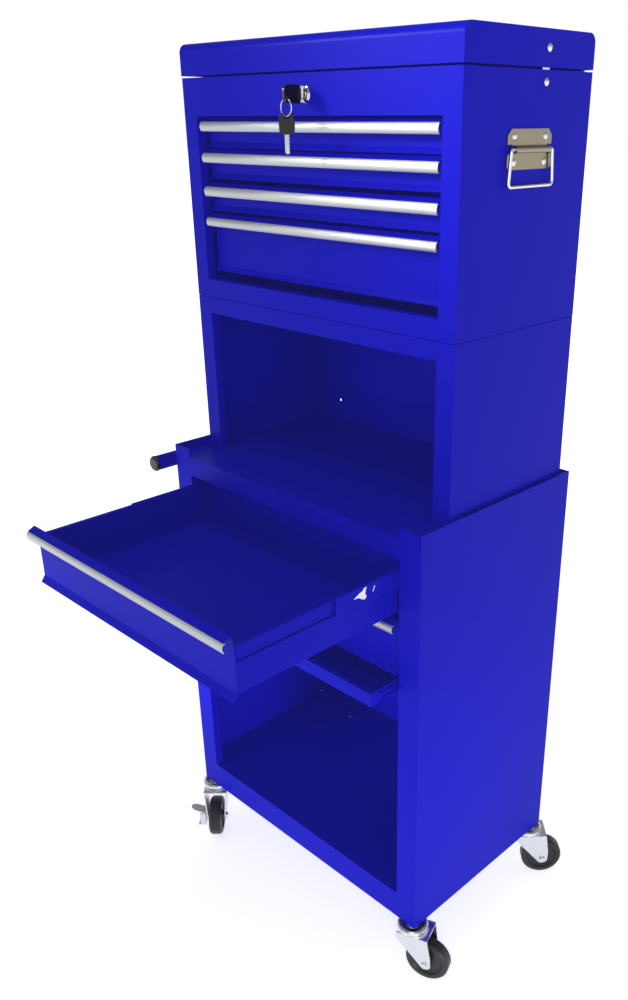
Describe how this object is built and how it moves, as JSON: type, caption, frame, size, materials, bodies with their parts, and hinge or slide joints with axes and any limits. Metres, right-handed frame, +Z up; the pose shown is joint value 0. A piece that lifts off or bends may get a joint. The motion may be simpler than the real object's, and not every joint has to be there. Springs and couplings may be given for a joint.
{
  "type": "tool cabinet",
  "caption": "Blue steel rolling tool cabinet: a lidded chest of shallow drawers on an open middle box and a base with two drawers, a sliding tray, an open bay, casters and a side push handle.",
  "frame": {"origin": "on the floor under the middle of the whole object, with its upper base drawer and sliding tray pulled out as stored", "axes": "+X to the cabinet's right as seen from its front, +Y to its back, +Z up; the drawers open towards -Y"},
  "size_m": [0.5268, 0.5618, 1.1333],
  "materials": {
    "blue_paint": "royal blue gloss powder coat",
    "anodised_rail": "satin silver anodised extrusion",
    "zinc_steel": "bright zinc plated steel",
    "nickel_handle": "dull nickel plated steel",
    "chrome_lock": "polished chrome",
    "black_key_head": "moulded black plastic, satin gloss",
    "black_wheel": "moulded black polypropylene",
    "blue_tube": "royal blue gloss powder coat",
    "zinc_bracket": "royal blue gloss powder coat",
    "black_cap": "moulded black plastic"
  },
  "bodies": {
    "cabinet": {"base_side_left": "blue_paint", "middle_side_left": "blue_paint", "chest_side_left": "blue_paint", "base_side_right": "blue_paint", "middle_side_right": "blue_paint", "chest_side_right": "blue_paint", "base_back": "blue_paint", "base_top_tray": "blue_paint", "base_floor": "blue_paint", "middle_back": "blue_paint", "middle_top": "blue_paint", "chest_back": "blue_paint", "chest_floor": "blue_paint", "chest_front_panel": "blue_paint", "chest_till_floor": "blue_paint", "drawer_runners": "blue_paint", "hinge_leaf_body": "zinc_steel", "hinge_pin": "zinc_steel", "body_rivets": "zinc_steel", "lock_housing": "chrome_lock", "handle_plates": "nickel_handle", "push_handle_tube": "blue_tube", "push_handle_brackets": "zinc_bracket", "push_handle_caps": "black_cap", "caster_mounts": "zinc_steel"},
    "lid": {"lid_shell": "blue_paint", "hinge_leaf_lid": "zinc_steel"},
    "lid_stays": {"lid_stays": "zinc_steel"},
    "chest_drawer_1": {"chest_drawer_1": "blue_paint", "chest_drawer_rail_1": "anodised_rail"},
    "chest_drawer_2": {"chest_drawer_2": "blue_paint", "chest_drawer_rail_2": "anodised_rail"},
    "chest_drawer_3": {"chest_drawer_3": "blue_paint", "chest_drawer_rail_3": "anodised_rail"},
    "chest_drawer_4": {"chest_drawer_4": "blue_paint", "chest_drawer_rail_4": "anodised_rail"},
    "base_drawer_upper": {"base_drawer_upper": "blue_paint", "base_drawer_rail_upper": "anodised_rail"},
    "slide_middle_upper": {"slide_middle_upper": "blue_paint"},
    "base_drawer_lower": {"base_drawer_lower": "blue_paint", "base_drawer_rail_lower": "anodised_rail"},
    "slide_middle_lower": {"slide_middle_lower": "blue_paint"},
    "sliding_tray": {"sliding_tray": "blue_paint"},
    "lock": {"lock_plug": "chrome_lock", "lock_key_head": "black_key_head"},
    "key_ring": {"key_ring": "chrome_lock"},
    "spare_key": {"spare_key_head": "black_key_head", "spare_key_blade": "chrome_lock"},
    "bail_left": {"bail_left": "nickel_handle"},
    "bail_right": {"bail_right": "nickel_handle"},
    "caster_fork_front_right": {"caster_fork_front_right": "zinc_steel"},
    "caster_wheel_front_right": {"caster_wheel_front_right": "black_wheel"},
    "caster_fork_rear_right": {"caster_fork_rear_right": "zinc_steel"},
    "caster_wheel_rear_right": {"caster_wheel_rear_right": "black_wheel"},
    "caster_fork_front_left": {"caster_fork_front_left": "zinc_steel"},
    "caster_wheel_front_left": {"caster_wheel_front_left": "black_wheel"},
    "brake_lever_front_left": {"brake_lever_front_left": "zinc_steel"},
    "caster_fork_rear_left": {"caster_fork_rear_left": "zinc_steel"},
    "caster_wheel_rear_left": {"caster_wheel_rear_left": "black_wheel"},
    "brake_lever_rear_left": {"brake_lever_rear_left": "zinc_steel"}
  },
  "joints": [
    {"name": "lid_hinge", "type": "hinge", "parent": "cabinet", "child": "lid", "pos_m": [-0.00055, 0.23152, 1.0978], "axis": [-1, 0, 0], "range_deg": [0, 90]},
    {"name": "lid_stays_pivot", "type": "hinge", "parent": "lid", "child": "lid_stays", "pos_m": [-0.00055, 0.14692, 1.1166], "axis": [1, 0, 0], "range_deg": [0, 45]},
    {"name": "chest_drawer_1_slide", "type": "slide", "parent": "cabinet", "child": "chest_drawer_1", "axis": [0, -1, 0], "range_m": [0, 0.12]},
    {"name": "chest_drawer_2_slide", "type": "slide", "parent": "cabinet", "child": "chest_drawer_2", "axis": [0, -1, 0], "range_m": [0, 0.12]},
    {"name": "chest_drawer_3_slide", "type": "slide", "parent": "cabinet", "child": "chest_drawer_3", "axis": [0, -1, 0], "range_m": [0, 0.12]},
    {"name": "chest_drawer_4_slide", "type": "slide", "parent": "cabinet", "child": "chest_drawer_4", "axis": [0, -1, 0], "range_m": [0, 0.12]},
    {"name": "base_drawer_upper_slide", "type": "slide", "parent": "cabinet", "child": "base_drawer_upper", "axis": [0, -1, 0], "range_m": [-0.24, 0]},
    {"name": "slide_middle_upper_slide", "type": "slide", "parent": "cabinet", "child": "slide_middle_upper", "axis": [0, -1, 0], "range_m": [-0.12, 0]},
    {"name": "base_drawer_lower_slide", "type": "slide", "parent": "cabinet", "child": "base_drawer_lower", "axis": [0, -1, 0], "range_m": [-0.008, 0.232]},
    {"name": "slide_middle_lower_slide", "type": "slide", "parent": "cabinet", "child": "slide_middle_lower", "axis": [0, -1, 0], "range_m": [-0.004, 0.116]},
    {"name": "sliding_tray_slide", "type": "slide", "parent": "cabinet", "child": "sliding_tray", "axis": [0, -1, 0], "range_m": [-0.049, 0.131]},
    {"name": "lock_turn", "type": "hinge", "parent": "cabinet", "child": "lock", "pos_m": [-0.00055, 0.01392, 1.076], "axis": [0, 1, 0], "range_deg": [0, 90]},
    {"name": "key_ring_swing", "type": "hinge", "parent": "lock", "child": "key_ring", "pos_m": [-0.00055, -0.01158, 1.0714], "axis": [-1, 0, 0], "range_deg": [0, 134.4]},
    {"name": "spare_key_swing", "type": "hinge", "parent": "key_ring", "child": "spare_key", "pos_m": [-0.00055, -0.01158, 1.063], "axis": [0, 1, 0], "range_deg": [-90, 0]},
    {"name": "bail_left_hinge", "type": "hinge", "parent": "cabinet", "child": "bail_left", "pos_m": [-0.22235, 0.12162, 1.024], "axis": [0, 1, 0], "range_deg": [0, 90]},
    {"name": "bail_right_hinge", "type": "hinge", "parent": "cabinet", "child": "bail_right", "pos_m": [0.22125, 0.12162, 1.024], "axis": [0, -1, 0], "range_deg": [0, 90]},
    {"name": "caster_front_right_swivel", "type": "hinge", "parent": "cabinet", "child": "caster_fork_front_right", "pos_m": [0.21145, -0.02888, 0.088], "axis": [0, 0, 1], "continuous": true},
    {"name": "caster_front_right_roll", "type": "hinge", "parent": "caster_fork_front_right", "child": "caster_wheel_front_right", "pos_m": [0.23307, -0.02102, 0.03], "axis": [-0.342, 0.9397, 0], "continuous": true},
    {"name": "caster_rear_right_swivel", "type": "hinge", "parent": "cabinet", "child": "caster_fork_rear_right", "pos_m": [0.21145, 0.22812, 0.088], "axis": [0, 0, 1], "continuous": true},
    {"name": "caster_rear_right_roll", "type": "hinge", "parent": "caster_fork_rear_right", "child": "caster_wheel_rear_right", "pos_m": [0.22743, 0.24466, 0.03], "axis": [-0.7193, 0.6947, 0], "continuous": true},
    {"name": "caster_front_left_swivel", "type": "hinge", "parent": "cabinet", "child": "caster_fork_front_left", "pos_m": [-0.21255, -0.02888, 0.088], "axis": [0, 0, 1], "continuous": true},
    {"name": "caster_front_left_roll", "type": "hinge", "parent": "caster_fork_front_left", "child": "caster_wheel_front_left", "pos_m": [-0.19628, -0.04515, 0.03], "axis": [0.7071, 0.7071, 0], "continuous": true},
    {"name": "brake_front_left_press", "type": "hinge", "parent": "caster_fork_front_left", "child": "brake_lever_front_left", "pos_m": [-0.19628, -0.04515, 0.03], "axis": [0.7071, 0.7071, 0], "range_deg": [0, 18]},
    {"name": "caster_rear_left_swivel", "type": "hinge", "parent": "cabinet", "child": "caster_fork_rear_left", "pos_m": [-0.21255, 0.22812, 0.088], "axis": [0, 0, 1], "continuous": true},
    {"name": "caster_rear_left_roll", "type": "hinge", "parent": "caster_fork_rear_left", "child": "caster_wheel_rear_left", "pos_m": [-0.20659, 0.25033, 0.03], "axis": [-0.9659, 0.2588, 0], "continuous": true},
    {"name": "brake_rear_left_press", "type": "hinge", "parent": "caster_fork_rear_left", "child": "brake_lever_rear_left", "pos_m": [-0.20659, 0.25033, 0.03], "axis": [-0.9659, 0.2588, 0], "range_deg": [0, 18]}
  ],
  "couplings": [
    {"joint": "lid_stays_pivot", "follows": "lid_hinge", "ratio": 0.5},
    {"joint": "slide_middle_upper_slide", "follows": "base_drawer_upper_slide", "ratio": 0.5},
    {"joint": "slide_middle_lower_slide", "follows": "base_drawer_lower_slide", "ratio": 0.5},
    {"joint": "key_ring_swing", "follows": "chest_drawer_1_slide", "rad_per_m": 19.548},
    {"joint": "spare_key_swing", "follows": "lock_turn", "ratio": -1}
  ]
}
